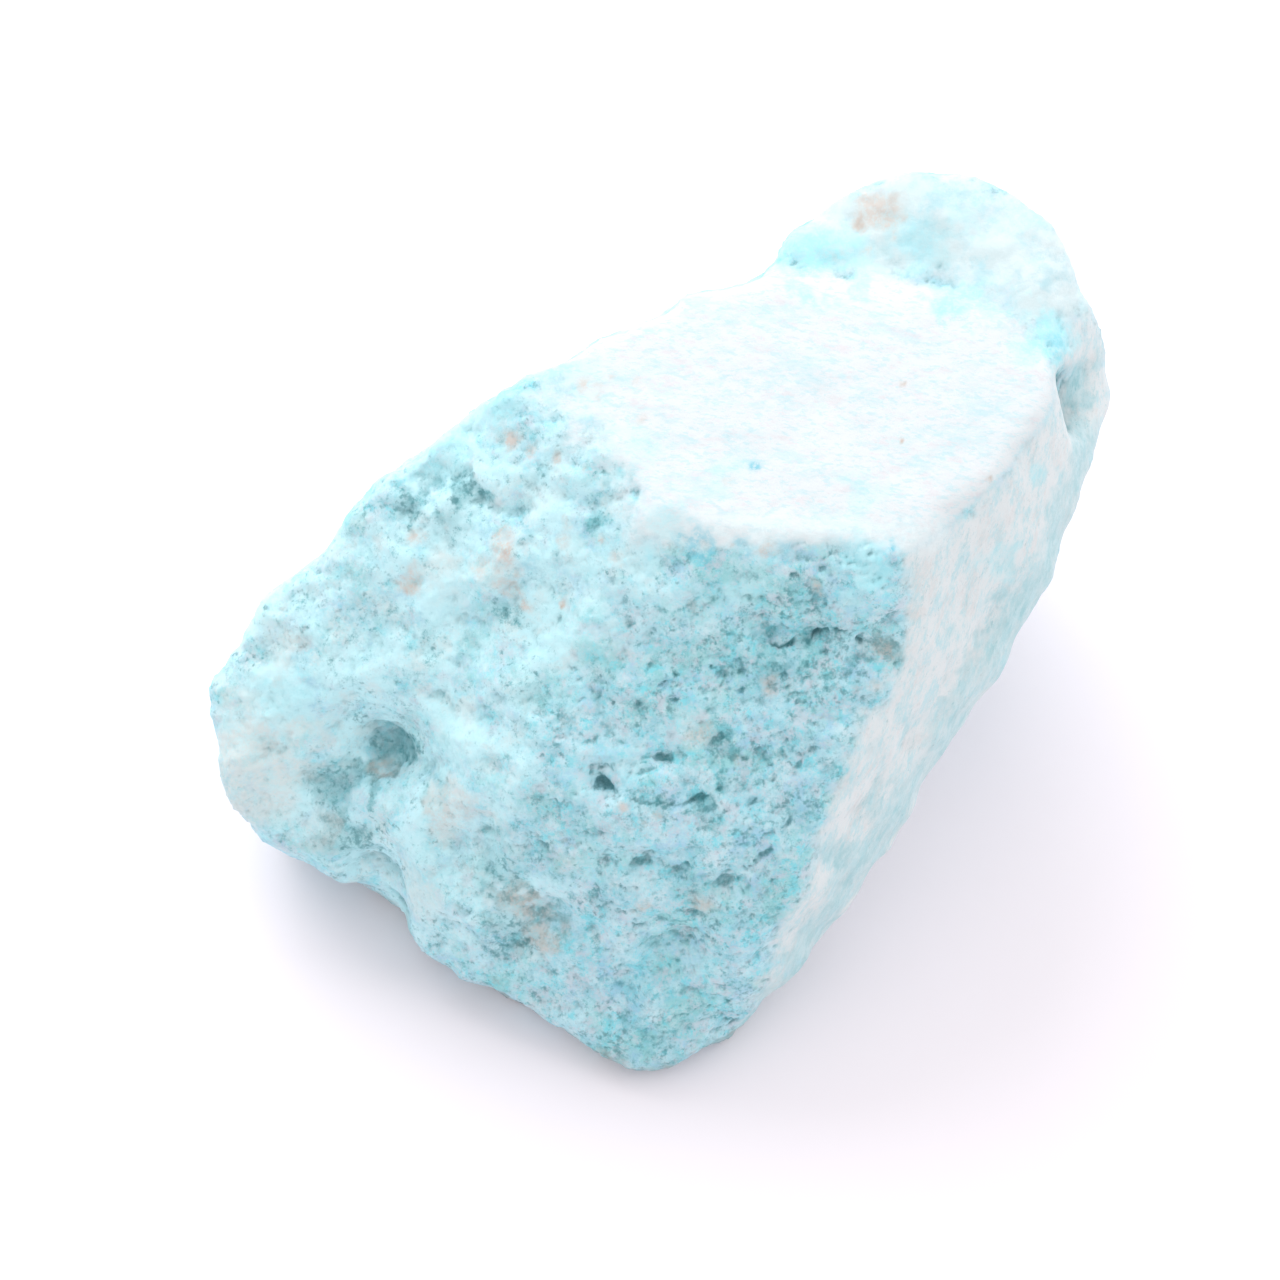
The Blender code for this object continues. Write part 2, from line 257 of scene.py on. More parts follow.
# Aqua spots; the one at (664, 524) is also painted light where the top's front edge turns away from the
# lamps.
AQUA_SPOTS = (
    (500, 395, 1.6, 0.7), (440, 445, 1.4, 0.5), (285, 700, 1.6, 0.5), (420, 870, 1.6, 0.3),
    (590, 385, 1.6, 0.3), (664, 524, 1.0, 0.5), (1000, 560, 1.0, 0.35), (870, 562, 1.1, 0.7),
    (815, 252, 2.0, 1.0), (780, 262, 1.2, 0.7), (850, 246, 1.2, 0.7), (915, 240, 2.0, 0.5),
    (955, 302, 1.1, 0.9), (985, 308, 0.6, 0.6), (1050, 335, 1.3, 0.9), (1078, 342, 0.6, 0.5),
    (1030, 352, 0.8, 0.6), (720, 470, 0.9, 0.25), (640, 450, 1.2, 0.3), (1035, 470, 0.5, 0.5),
    (860, 500, 1.0, 0.3),
)
# Paler spots (above 0) and darker ones (below 0): partly the stone's own tone, partly painted light and
# painted shade where faces turn to or from the lamps and in the hollows.
TONE_LIGHT_AND_SHADE_SPOTS = (
    (820, 635, 2.4, -0.15), (760, 572, 2.0, 0.6), (700, 560, 1.3, -0.1), (860, 690, 1.6, -0.2),
    (850, 770, 1.6, -0.3), (745, 762, 1.2, -0.3), (625, 855, 2.2, 0.4), (602, 905, 1.2, -0.3),
    (520, 925, 2.0, -0.5), (390, 744, 1.2, -0.5), (409, 745, 0.8, -0.7), (390, 722, 0.7, 0.6),
    (336, 787, 1.6, -0.7), (650, 1040, 2.0, -0.3), (460, 482, 1.0, -0.8), (415, 505, 1.0, -0.6),
    (572, 440, 0.9, -0.4), (489, 495, 0.35, -0.9), (470, 425, 1.8, 0.6), (502, 392, 1.0, -0.4),
    (700, 890, 1.4, -0.4), (600, 690, 1.4, -0.2), (1078, 400, 1.4, -0.2), (902, 658, 0.9, -0.6),
    (690, 640, 1.8, -0.2), (620, 488, 0.9, -0.15), (372, 590, 1.6, -0.1), (800, 810, 1.4, -0.3),
    (640, 800, 1.2, -0.3), (450, 520, 0.8, -0.5), (600, 505, 0.7, -0.3), (620, 490, 0.7, -0.1),
    (590, 524, 0.5, -0.6), (556, 556, 0.4, -0.8), (530, 535, 0.5, -0.5), (500, 610, 0.8, -0.6),
    (520, 618, 0.6, -0.5), (470, 640, 0.9, -0.5), (360, 600, 1.0, -0.15), (300, 640, 1.0, -0.35),
    (330, 690, 1.2, -0.05), (430, 640, 0.8, -0.4), (500, 440, 0.6, -0.5), (545, 470, 0.6, -0.4),
    (300, 600, 0.9, -0.3), (560, 640, 2.2, 0.4), (600, 765, 1.9, 0.4), (700, 712, 1.1, 0.3),
    (450, 600, 1.8, 0.8), (280, 695, 2.2, 0.9), (350, 840, 1.6, -0.6), (328, 852, 1.0, -0.4),
    (402, 905, 1.1, 0.8), (450, 736, 1.7, 0.7), (545, 560, 1.5, 0.4), (590, 590, 1.3, 0.4),
    (670, 735, 1.0, 0.3), (500, 862, 1.7, -0.5), (525, 685, 1.6, -0.3), (540, 735, 1.2, -0.2),
    (745, 560, 0.6, -0.3), (790, 585, 0.9, -0.5), (720, 548, 0.5, -0.5), (815, 588, 0.5, -0.5),
    (780, 640, 1.1, -0.3), (830, 640, 0.8, -0.2), (765, 672, 0.7, -0.5), (640, 708, 0.5, -0.6),
    (720, 745, 0.9, -0.6), (665, 758, 0.4, -0.5), (608, 790, 0.5, -0.7), (660, 806, 0.8, -0.5),
    (700, 803, 0.6, -0.5), (893, 650, 0.6, -0.8), (685, 600, 1.5, 0.4), (730, 600, 1.0, 0.3),
    (880, 590, 0.9, 0.4), (850, 600, 0.6, 0.3), (870, 562, 1.0, 0.6), (664, 524, 1.1, 0.9),
    (640, 560, 1.0, 0.5), (640, 945, 1.8, 0.3), (820, 552, 0.7, 0.5), (860, 614, 0.6, 0.4),
    (600, 560, 0.8, 0.3), (625, 600, 1.0, 0.3), (560, 515, 1.2, 0.4), (690, 820, 1.0, 0.3),
    (685, 538, 0.7, 0.5), (935, 545, 0.8, 0.4), (860, 560, 0.7, 0.3), (436, 790, 1.0, -0.5),
    (714, 819, 0.9, -0.5), (700, 960, 1.1, 0.4), (1069, 339, 1.0, 0.5), (470, 545, 1.4, 0.2),
    (400, 880, 1.4, 0.2), (840, 720, 1.2, 0.2), (620, 780, 1.0, 0.3),
)
CREAM_SPOTS = (
    (245, 765, 2.8, 0.9), (270, 800, 1.8, 0.7), (240, 720, 1.6, 0.5), (320, 830, 1.4, 0.5),
    (280, 640, 1.4, 0.5), (450, 805, 1.4, 0.5), (420, 900, 1.4, 0.5), (560, 470, 0.8, 0.5),
    (540, 500, 0.8, 0.4), (440, 560, 1.0, 0.5), (500, 570, 1.2, 0.5), (880, 215, 1.8, 0.6),
)
# Painted light, where the top's front rim and the knob's right end turn away from the lamps.
PAINTED_LIGHT_SPOTS = (
    (1056, 256, 1.9, 0.9), (1062, 292, 1.1, 0.9), (950, 255, 1.2, 0.4), (1020, 225, 1.2, 0.3),
)
SIDE_TEAL = (
    (992, 650, 0.8, 0.8), (828, 852, 0.8, 0.8), (933, 745, 0.8, 0.8), (843, 856, 0.8, 0.9),
    (950, 630, 0.4, 0.4), (905, 720, 0.4, 0.4), (870, 750, 0.5, 0.4), (1076, 374, 1.0, 1.0),
    (1082, 400, 0.8, 0.9), (1080, 425, 0.8, 0.8), (1065, 480, 0.8, 0.5),
)

# Two bands, one of colour and one of painted light: the places that they run through, and half their width.
TEAL_BAND = (
    (1085, 440), (1068, 500), (1050, 560), (1000, 650), (935, 755), (870, 850), (800, 960), (760, 1030),
)
TEAL_WIDTH = 1.5  # the blurred sea green along the side
TEAL_SHARE = 0.8
TEAL_RAGGED = 0.8
# The line of painted light along the top's rounded front rim.
PAINTED_LIGHT_LINE = (
    (655, 528), (668, 536), (700, 531), (760, 531), (830, 533), (900, 539), (935, 536),
)
PAINTED_LIGHT_WIDTH = 0.9  # painted light along the front rim of the top, where it rounds away from the lamps
PAINTED_LIGHT_RAGGED = 0.6

# The spot masks; the rim mask carries painted light.
COLOURED = {
    "tan": TAN_SPOTS, "rust": RUST_SPOTS, "blue": BLUE_SPOTS, "aqua": AQUA_SPOTS, "teal": SIDE_TEAL,
    "cream": CREAM_SPOTS, "rim": PAINTED_LIGHT_SPOTS,
}


def camera_axes():
    """The camera's own right, up and backward directions."""
    turn, rise = math.radians(AZIMUTH), math.radians(ELEVATION)
    back = Vector((math.sin(turn) * math.cos(rise), -math.cos(turn) * math.cos(rise), math.sin(rise)))
    right = Vector((math.cos(turn), math.sin(turn), 0.0))
    return right, back.cross(right), back


RIGHT, UP, BACK = camera_axes()
AWAY = Vector((-RIGHT.y, RIGHT.x, 0.0))  # level, away from the camera
EYE = AIM + BACK * DISTANCE
TOP_WAY = (RIGHT - AWAY * 0.15).normalized()  # the way the streaks of the smooth top run
SIDE_WAY = (RIGHT * 0.31 + AWAY * 0.65 + Vector((0.0, 0.0, 0.69))).normalized()  # along the right side
LAYER_WAY = AWAY * 0.55 + Vector((0.0, 0.0, 0.8))  # up the rough slope


def make_camera():
    """The camera that the photograph was taken with, without its blur."""
    data = bpy.data.cameras.new("camera")
    data.sensor_width = SENSOR
    data.lens = SENSOR * DISTANCE / FIELD
    data.clip_start, data.clip_end = CLIP
    camera = bpy.data.objects.new("camera", data)
    bpy.context.scene.collection.objects.link(camera)
    camera.location = EYE
    camera.rotation_mode = "QUATERNION"
    camera.rotation_quaternion = (-BACK).to_track_quat("-Z", "Y")
    bpy.context.scene.camera = camera


def pixel_ray(u, v):
    """The direction in which the photograph's pixel (u, v) is seen."""
    scale = FIELD / PHOTO
    across, rise = (u - PHOTO / 2) * scale, (PHOTO / 2 - v) * scale
    return (RIGHT * across + UP * rise - BACK * DISTANCE).normalized()


def pixels_of(points):
    """Where points, given as rows of x, y and z in metres, are seen in the photograph."""
    offset = points - np.array(EYE)
    depth = -(offset @ np.array(BACK))
    scale = PHOTO / FIELD * DISTANCE
    u = PHOTO / 2 + offset @ np.array(RIGHT) / depth * scale
    v = PHOTO / 2 - offset @ np.array(UP) / depth * scale
    return u, v


def soft_step(low, high, value):
    """0 at low, 1 at high, and smooth between them."""
    t = np.clip((value - low) / (high - low), 0.0, 1.0)
    return t * t * (3.0 - 2.0 * t)


def inside(u, v, outline):
    """How far each pixel is inside an outline (negative outside it)."""
    corners = np.array(outline, dtype=float)
    nearest = np.full(u.shape, 1e9)
    crossings = np.zeros(u.shape, dtype=int)
    for start, end in zip(corners, np.roll(corners, -1, axis=0)):
        run = end - start
        t = np.clip(((u - start[0]) * run[0] + (v - start[1]) * run[1]) / (run @ run), 0.0, 1.0)
        gap = np.hypot(u - start[0] - t * run[0], v - start[1] - t * run[1])
        nearest = np.minimum(nearest, gap)
        spans = (start[1] > v) != (end[1] > v)
        if run[1] != 0.0:
            crossings += spans & (u < start[0] + (v - start[1]) * run[0] / run[1])
    return np.where(crossings % 2 == 1, nearest, -nearest)


# ---------------------------------------------------------------------------------------- the stone's mesh


def evaluated_mesh(obj):
    """The object's mesh with its modifiers applied; the modifiers are then taken off."""
    graph = bpy.context.evaluated_depsgraph_get()
    graph.update()
    mesh = bpy.data.meshes.new_from_object(obj.evaluated_get(graph))
    obj.modifiers.clear()
    return mesh


def even_mesh(source):
    """An evenly spaced copy of the node's mesh, with its facets smoothed away."""
    obj = bpy.data.objects.new("stone_work", source.copy())
    bpy.context.scene.collection.objects.link(obj)
    remesh = obj.modifiers.new("even", "REMESH")
    remesh.mode = "VOXEL"
    remesh.voxel_size = COARSE * MM
    smooth = obj.modifiers.new("no facets", "SMOOTH")
    smooth.factor = 0.5
    smooth.iterations = SMOOTHING
    mesh = evaluated_mesh(obj)
    bpy.data.objects.remove(obj)
    return mesh


def refine_facing(mesh):
    """Splits the faces that the camera sees well, so that the near side carries finer detail."""
    bm = bmesh.new()
    bm.from_mesh(mesh)
    bm.normal_update()
    tree = BVHTree.FromBMesh(bm)
    chosen = set()
    for face in bm.faces:
        centre = face.calc_center_median()
        sight = EYE - centre
        if face.normal.dot(sight.normalized()) < FINE_FACING:
            continue
        start = centre + face.normal * SIGHT_LIFT * MM
        if tree.ray_cast(start, sight.normalized())[0] is None:
            chosen.update(face.edges)
    bmesh.ops.subdivide_edges(bm, edges=list(chosen), cuts=1, use_grid_fill=True, smooth=0.0)
    bmesh.ops.triangulate(bm, faces=[f for f in bm.faces if len(f.verts) > 4])
    bm.to_mesh(mesh)
    bm.free()


class Surface:
    """The stone's vertices as arrays: places in metres, normals, and where and how squarely each is seen."""

    def __init__(self, mesh):
        self.mesh = mesh
        self.read()
        self.tree = BVHTree.FromPolygons(
            [v.co for v in mesh.vertices], [p.vertices for p in mesh.polygons]
        )
        self.u, self.v = pixels_of(self.points)
        self.facing = self.normals @ np.array(BACK)
        self.count = len(self.points)

    def read(self):
        """Takes the vertices' places and normals from the mesh."""
        flat = np.empty(len(self.mesh.vertices) * 3)
        self.mesh.vertices.foreach_get("co", flat)
        self.points = flat.reshape(-1, 3).copy()
        self.mesh.vertex_normals.foreach_get("vector", flat)
        self.normals = flat.reshape(-1, 3).copy()

    def seen_at(self, u, v):
        """The stone's point and normal at a pixel of the photograph, or at the stone's nearest edge."""
        point, normal, _, _ = self.tree.ray_cast(EYE, pixel_ray(u, v))
        if point is None:
            gap = np.hypot(self.u - u, self.v - v)
            edge = int(np.argmin(np.where(self.facing > 0.0, gap, 1e9)))
            return Vector(self.points[edge]), Vector(self.normals[edge])
        return point, normal

    def field(self, function):
        """One number for each vertex, from its place in millimetres."""
        return np.array([function(Vector(p)) for p in self.points / MM])

    def hollowness(self, rounds, depth):
        """1 where a vertex lies depth (mm) below its surroundings, -1 where it stands out as far."""
        ends = np.empty(len(self.mesh.edges) * 2, dtype=np.int64)
        self.mesh.edges.foreach_get("vertices", ends)
        first, second = ends[0::2], ends[1::2]
        count = np.bincount(ends, minlength=self.count)
        level = self.points.copy()
        for _ in range(rounds):
            for axis in range(3):
                total = np.bincount(first, level[second, axis], self.count)
                total += np.bincount(second, level[first, axis], self.count)
                level[:, axis] = total / count
        return np.clip(((level - self.points) * self.normals).sum(axis=1) / MM / depth, -1.0, 1.0)

    def raise_by(self, height):
        """Moves every vertex out along its normal by height, in millimetres, and never below the ground."""
        self.points = self.points + self.normals * height[:, None] * MM
        self.points[:, 2] = np.maximum(self.points[:, 2], 0.0)
        self.mesh.vertices.foreach_set("co", self.points.ravel())
        self.mesh.update()
        self.read()


def seed_start(seed, steps):
    """Where in space a noise of this seed is read."""
    return Vector([seed * step for step in steps])


def plain(size, seed):
    """A noise of the given grain."""
    start = seed_start(seed, PLAIN_STEPS)
    return lambda p: noise.noise(p / size + start)


def fractal(size, seed, octaves):
    """A noise of the given grain, with finer and finer noise on it."""
    start = seed_start(seed, FRACTAL_STEPS)
    return lambda p: noise.fractal(p / size + start, FRACTAL_FADE, FINER, octaves)


def streaky(size, start, octaves, warp):
    """A fractal noise read where the warp moves each place to."""
    return lambda p: noise.fractal(warp(p) / size + Vector(start), STREAK_FADE, FINER, octaves)


def eroded(surface, size, seed, low, high, warp):
    """Ragged cavities scattered over the stone: 1 at a cavity's floor, 0 outside it."""
    start = seed_start(seed, CAVITY_STEPS)

    def cavities(p):
        return noise.fractal(warp(p) / size + start, CAVITY_FADE, CAVITY_FINER, CAVITY_OCTAVES)

    return soft_step(low, high, surface.field(cavities))


def uneven(gap, broken, share):
    """A distance, as a share of a mark's reach, that the broken noise makes uneven."""
    return gap * np.clip(1.0 + share * broken, *UNEVEN_LIMITS)


def bowl(gap):
    """1 in the middle of a mark, curving down to 0 at its reach."""
    return 1.0 - np.minimum(gap, 1.0) ** 2


def pit_field(surface, spot, broken):
    """Up to 1 in a named pit, 0 outside it: steep on its far side, and ragged with the broken noise."""
    u, v, half, _, stretch, tilt = spot
    centre, normal = surface.seen_at(u, v)
    first = (RIGHT - normal * RIGHT.dot(normal)).normalized()
    second = normal.cross(first)
    turn = math.radians(tilt)
    along = np.array(first * math.cos(turn) + second * math.sin(turn))
    across = np.array(second * math.cos(turn) - first * math.sin(turn))
    offset = (surface.points - np.array(centre)) / MM
    deep = offset @ np.array(normal)
    gap = np.sqrt((offset @ along / stretch) ** 2 + (offset @ across) ** 2 + deep**2) / half
    far_wall = np.clip(FAR_WALL + FAR_WALL * (offset @ np.array(AWAY)) / half, *FAR_WALL_LIMITS)
    return bowl(uneven(gap, broken, PIT_UNEVEN)) * far_wall


def spot_field(surface, u, v, radius, broken):
    """1 at the middle of a coloured spot, fading to 0 at a ragged edge."""
    centre, _ = surface.seen_at(u, v)
    gap = np.linalg.norm((surface.points - np.array(centre)) / MM, axis=1) / radius
    return 1.0 - soft_step(*SPOT_FADE, uneven(gap, broken, SPOT_UNEVEN))


def line_field(surface, places, half, broken):
    """1 along a line through the places seen at the given pixels, 0 beyond its half width."""
    line = [np.array(surface.seen_at(u, v)[0]) for u, v in places]
    nearest = np.full(surface.count, 1e9)
    for start, end in zip(line, line[1:]):
        run = end - start
        t = np.clip((surface.points - start) @ run / (run @ run), 0.0, 1.0)
        gap = np.linalg.norm(surface.points - start - t[:, None] * run, axis=1) / MM
        nearest = np.minimum(nearest, gap)
    return bowl(uneven(nearest / half, broken, LINE_UNEVEN))


def stretched(along, ratio):
    """Squeezes space along one direction, so that a noise there runs in streaks that way."""
    axis = Vector(along).normalized()
    return lambda p: p - axis * (p.dot(axis) * (1.0 - 1.0 / ratio))


def zones(surface):
    """How much each vertex belongs to the top, the side, the knob, the paler and painted-lighter left, and
    the foot's painted shade.
    """
    u, v, facing = surface.u, surface.v, surface.facing
    edge = surface.field(fractal(EDGE_GRAIN, seed=2.0, octaves=4))
    height = surface.points[:, 2] / MM

    blend = TOP_BLEND[0] + (TOP_BLEND[1] - TOP_BLEND[0]) * soft_step(*TOP_BLEND_COLUMNS, u)
    top = soft_step(-1.0, 1.0, inside(u, v, TOP_OUTLINE) / blend + edge)
    top = top * soft_step(*TOP_LEVEL, surface.normals[:, 2]) * soft_step(*TOP_HEIGHT, height)

    side = soft_step(*SIDE_BLEND, inside(u, v, SIDE_OUTLINE) + SIDE_RAGGED * edge)
    side = side * soft_step(*SIDE_TURNED, surface.normals @ np.array(RIGHT)) * (1.0 - top)
    side = side * soft_step(*SIDE_FACING, facing + SIDE_FACING_RAGGED * edge)

    knob = soft_step(*KNOB_BLEND, inside(u, v, KNOB_OUTLINE) + KNOB_RAGGED * edge)
    knob = knob * soft_step(*KNOB_FACING, facing) * (1.0 - top) * (1.0 - side)

    # The paler left: partly paler in colour, partly painted light where it faces the lamps.
    pale = soft_step(*PALE_BLEND, inside(u, v, PALE_OUTLINE) + PALE_RAGGED * edge)
    pale = pale * soft_step(*PALE_FACING, facing)
    # Painted shade near the ground, at the foot of the stone.
    foot = soft_step(*FOOT_HEIGHT, height + FOOT_RAGGED * edge)
    return {"top": top, "side": side, "knob": knob, "pale": pale, "foot": foot}


def roughness(surface, masks):
    """How much each vertex belongs to the broken faces: less on the underside that the stone lies on."""
    height = surface.points[:, 2] / MM
    under = soft_step(*UNDER_FACING, -surface.normals[:, 2]) * soft_step(*UNDER_HEIGHT, height)
    rough = np.clip(1.0 - masks["top"] - masks["side"] - KNOB_CALM * masks["knob"], 0.0, 1.0)
    return rough * (1.0 - UNDER_CALM * under)


def spots_field(surface, spots, broken):
    """The strongest of several coloured spots at each vertex."""
    mask = np.zeros(surface.count)
    for u, v, radius, strength in spots:
        mask = np.maximum(mask, strength * spot_field(surface, u, v, radius, broken))
    return mask


def tone_light_and_shade_field(surface, broken):
    """How much paler (above 0) or darker (below 0) the stone is painted around the named places: its own
    tone, and painted light and shade.
    """
    tone_light_and_shade = np.zeros(surface.count)
    for u, v, radius, strength in TONE_LIGHT_AND_SHADE_SPOTS:
        tone_light_and_shade += strength * spot_field(surface, u, v, radius, broken)
    return np.clip(tone_light_and_shade, -1.0, 1.0)


def stacked(noises, amounts):
    """The noises added up, each as high as its amount says."""
    return sum(amount * noises[name] for name, amount in amounts.items())


def ground_relief(surface, masks, noises):
    """The relief of the broken faces, the top, the side and the knob, without the named pits and cracks."""
    rough = roughness(surface, masks)
    broken = rough * (1.0 - PALE_CALM * masks["pale"])
    crowded = soft_step(*CROWDED, surface.field(plain(*CROWDS)) + CROWDED_BY_SWELL * noises["swell"])
    layered = stretched(LAYER_WAY, LAYER_STRETCH)

    relief = rough * stacked(noises, ROUGH_RELIEF)
    for size, seed, rim, floor, depth, deeper in CAVITIES:
        relief -= broken * (depth + deeper * crowded) * eroded(surface, size, seed, rim, floor, layered)
    relief += masks["top"] * stacked(noises, TOP_RELIEF)
    relief += masks["side"] * stacked(noises, SIDE_RELIEF)
    relief += masks["knob"] * stacked(noises, KNOB_RELIEF)
    return relief


def carve(surface):
    """Gives the smooth copy its relief, and returns the masks that the material reads."""
    masks = zones(surface)
    noises = {
        "fine": surface.field(plain(*FINE)),
        "grain": surface.field(plain(*GRAIN)),
        "swell": surface.field(fractal(*SWELL)),
        "lumps": surface.field(streaky(*LUMPS, stretched(LAYER_WAY, LAYER_STRETCH))),
        "combed": surface.field(streaky(*COMBED, stretched(SIDE_WAY, FIBRE_STRETCH))),
    }
    ragged = stacked(noises, RAGGED)
    blotched = ragged + BLOTCH_SHARE * surface.field(fractal(*BLOTCHES))
    relief = ground_relief(surface, masks, noises)

    # Painted shade on the floors of the pits and cracks.
    masks["pit"] = np.zeros(surface.count)
    for spot in PITS:
        half, depth = spot[2:4]
        field = pit_field(surface, spot, ragged)
        relief -= depth * field
        masks["pit"] = np.maximum(masks["pit"], min(PIT_PAINTED_SHADE * depth / half, 1.0) * field)
    open_parts = soft_step(*CRACK_OPEN, stacked(noises, OPENING))
    for places, half, depth in CRACKS:
        field = open_parts * line_field(surface, places, half, ragged)
        relief -= depth * field
        masks["pit"] = np.maximum(masks["pit"], CRACK_PAINTED_SHADE * field)
    surface.raise_by(relief)

    # Masks for the painted shade of the crevices and hollows.
    masks["crevice"] = surface.hollowness(*CREVICE)
    masks["hollow"] = surface.hollowness(*HOLLOW)
    masks["tone_light_and_shade"] = tone_light_and_shade_field(surface, blotched)
    for name, spots in COLOURED.items():
        masks[name] = spots_field(surface, spots, blotched)
    teal_band = TEAL_SHARE * line_field(surface, TEAL_BAND, TEAL_WIDTH, TEAL_RAGGED * blotched)
    masks["teal"] = np.maximum(masks["teal"], teal_band)
    # Painted light along the top's front rim.
    painted_light_band = line_field(surface, PAINTED_LIGHT_LINE, PAINTED_LIGHT_WIDTH, PAINTED_LIGHT_RAGGED * ragged)
    masks["rim"] = np.maximum(masks["rim"], painted_light_band)
    return masks


def write_masks(mesh, masks):
    """Stores the masks on the mesh, where the material reads them by name."""
    for name, values in masks.items():
        attribute = mesh.attributes.new(name, "FLOAT", "POINT")
        attribute.data.foreach_set("value", values.astype(np.float32))


def make_stone():
    """The visible stone: the carved copy of the solid, which it replaces."""
    mesh = even_mesh(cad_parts[NODE].data)
    refine_facing(mesh)
    mesh.name = STONE
    write_masks(mesh, carve(Surface(mesh)))
    mesh.shade_smooth()
    stone = bpy.data.objects.new(STONE, mesh)
    bpy.context.scene.collection.objects.link(stone)
    mesh.materials.clear()
    mesh.materials.append(stone_material())
    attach(stone, "root")
    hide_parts(NODE)


# ------------------------------------------------------------------------------------------- the materials


class Nodes:
    """Short names for the shader nodes that the stone's material is made of."""

    def __init__(self, name):
        self.material = bpy.data.materials.new(name)
        self.material.use_nodes = True
        self.tree = self.material.node_tree
        self.shader = self.tree.nodes["Principled BSDF"]
        self.place = self.add("ShaderNodeTexCoord").outputs["Object"]

    def add(self, kind, **settings):
        """A new shader node with the given settings."""
        node = self.tree.nodes.new(kind)
        for name, value in settings.items():
            setattr(node, name, value)
        return node

    def link(self, source, socket):
        self.tree.links.new(source, socket)

    def put(self, socket, value):
        """Links the socket to another node's output, or sets its own value."""
        if hasattr(value, "is_linked"):
            self.link(value, socket)
        else:
            socket.default_value = value

    def mask(self, name):
        """One of the masks that the mesh carries."""
        return self.add("ShaderNodeAttribute", attribute_name=name).outputs["Fac"]

    def noise(self, size, detail=4.0, roughness=0.6, seed=0.0, distortion=0.0, place=None):
        """A noise of the given grain."""
        node = self.add("ShaderNodeTexNoise", noise_dimensions="4D")
        self.link(place or self.place, node.inputs["Vector"])
        node.inputs["W"].default_value = seed
        node.inputs["Scale"].default_value = 1.0 / (size * MM)
        node.inputs["Detail"].default_value = detail
        node.inputs["Roughness"].default_value = roughness
        node.inputs["Distortion"].default_value = distortion
        return node.outputs["Fac"]

    def stretch(self, axis, ratio):
        """Places squeezed along an axis, so that a noise read there runs in streaks that way."""
        along = self.add("ShaderNodeVectorMath", operation="DOT_PRODUCT")
        self.link(self.place, along.inputs[0])
        along.inputs[1].default_value = axis
        shift = self.add("ShaderNodeVectorMath", operation="SCALE")
        shift.inputs[0].default_value = axis
        self.link(self.math("MULTIPLY", along.outputs["Value"], 1.0 / ratio - 1.0), shift.inputs["Scale"])
        place = self.add("ShaderNodeVectorMath", operation="ADD")
        self.link(self.place, place.inputs[0])
        self.link(shift.outputs[0], place.inputs[1])
        return place.outputs[0]

    def math(self, operation, first, second=0.0, clamp=False):
        """Arithmetic on two numbers, each a value or another node's output."""
        node = self.add("ShaderNodeMath", operation=operation, use_clamp=clamp)
        self.put(node.inputs[0], first)
        self.put(node.inputs[1], second)
        return node.outputs[0]

    def ramp(self, value, low, high, bottom=0.0, top=1.0):
        """A smooth change from bottom to top as the value goes from low to high."""
        node = self.add("ShaderNodeMapRange", interpolation_type="SMOOTHSTEP")
        self.put(node.inputs["Value"], value)
        node.inputs["From Min"].default_value = low
        node.inputs["From Max"].default_value = high
        node.inputs["To Min"].default_value = bottom
        node.inputs["To Max"].default_value = top
        return node.outputs["Result"]

    def noisy(self, grain, levels, amounts, place=None):
        """A noise as a number that goes from one amount to the other between two levels of the noise."""
        return self.ramp(self.noise(*grain, place=place), *levels, *amounts)

    def patchy(self, name, *patches):
        """A mask that a noise breaks up."""
        return self.math("MULTIPLY", self.mask(name), self.noisy(*patches))

    def mix(self, factor, first, second):
        """The first colour where the factor is 0, and the second where it is 1."""
        node = self.add("ShaderNodeMix", data_type="RGBA")
        self.put(node.inputs[0], factor)
        for socket, colour in ((node.inputs[6], first), (node.inputs[7], second)):
            self.put(socket, colour if hasattr(colour, "is_linked") else (*colour, 1.0))
        return node.outputs[2]

    def veiled(self, colour, veils, place=None):
        """A colour with other colours over it, each where its own noise rises between two levels."""
        for tint, grain, levels, share in veils:
            colour = self.mix(self.noisy(grain, levels, (0.0, share), place), colour, tint)
        return colour


# Colours of the stone, as linear RGB.
PALE_BLUE = (0.50, 0.75, 0.82)
SKY = (0.33, 0.62, 0.71)
SEA_GREEN = (0.26, 0.60, 0.60)
BRIGHT_CYAN = (0.19, 0.67, 0.76)
LILAC_GREY = (0.55, 0.62, 0.69)
ICE_BLUE = (0.34, 0.58, 0.76)
TEAL = (0.13, 0.39, 0.43)
DEEP_TEAL = (0.050, 0.200, 0.225)
CHALK = (0.60, 0.74, 0.79)
MILKY = (0.56, 0.85, 0.90)
CREAM = (0.64, 0.72, 0.72)
TOP_WHITE = (0.67, 0.71, 0.73)
TOP_CYAN = (0.46, 0.67, 0.72)
TOP_PINK = (0.66, 0.62, 0.65)
KNOB_PALE = (0.60, 0.71, 0.73)
SIDE_GREY = (0.675, 0.72, 0.73)
SIDE_BLUE = (0.48, 0.67, 0.71)
SIDE_SEA = (0.32, 0.56, 0.60)
SIDE_GRIT = (0.40, 0.45, 0.46)
PINK = (0.63, 0.615, 0.61)
CYAN = (0.14, 0.50, 0.62)
AQUA = (0.38, 0.76, 0.82)
# Painted light, for the top's rim and the knob's right end.
PAINTED_LIGHT = (0.72, 0.82, 0.84)
TAN = (0.61, 0.545, 0.50)
RUST = (0.50, 0.36, 0.28)
GREY_BROWN = (0.32, 0.37, 0.36)

